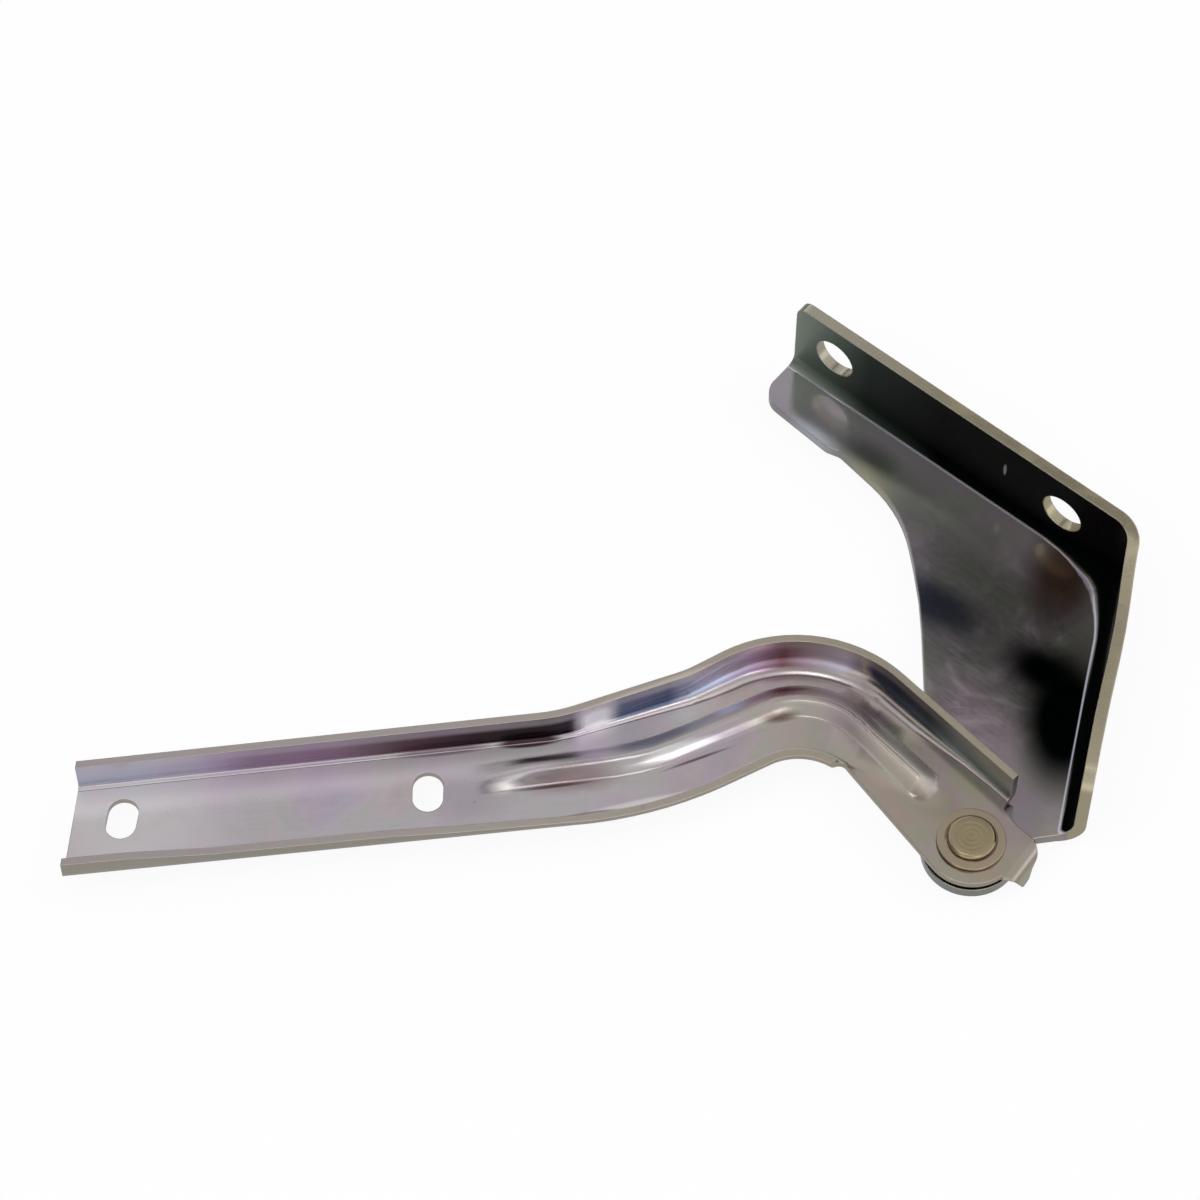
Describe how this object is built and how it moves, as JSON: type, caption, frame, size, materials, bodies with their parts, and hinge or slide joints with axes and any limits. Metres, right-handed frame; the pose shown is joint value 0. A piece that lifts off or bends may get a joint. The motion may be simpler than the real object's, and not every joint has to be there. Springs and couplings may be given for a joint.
{
  "type": "bonnet hinge",
  "caption": "Pressed steel bonnet hinge: a channel arm with a gooseneck, bead and stop lug that swings about a rivet in a folded flanged bracket.",
  "frame": {"origin": "on the base plane under the middle of the bounding box, with the arm in the pictured pose", "axes": "+Z is along the pivot, from the bracket towards the rivet's head; +X runs from the arm's free end towards the bracket; +Y towards the bracket's bolt flange"},
  "size_m": [0.3064, 0.1838, 0.0356],
  "materials": {
    "arm_zinc": "bright zinc plate with a faint iridescent passivate",
    "bracket_zinc": "bright zinc plate with a faint iridescent passivate",
    "rivet_zinc": "yellowish zinc plate, satin",
    "washer_zinc": "yellowish zinc plate, satin",
    "bush_bronze": "dull sintered bronze"
  },
  "bodies": {
    "bracket": {"body_bracket": "bracket_zinc", "pivot_rivet": "rivet_zinc", "head_washer": "washer_zinc"},
    "arm": {"bonnet_arm": "arm_zinc", "pivot_bush": "bush_bronze"}
  },
  "joints": [
    {"name": "bonnet_pivot", "type": "hinge", "parent": "bracket", "child": "arm", "pos_m": [0.10273, -0.07789, 0.0101], "axis": [0, 0, 1], "range_deg": [-46, 17.6]}
  ]
}
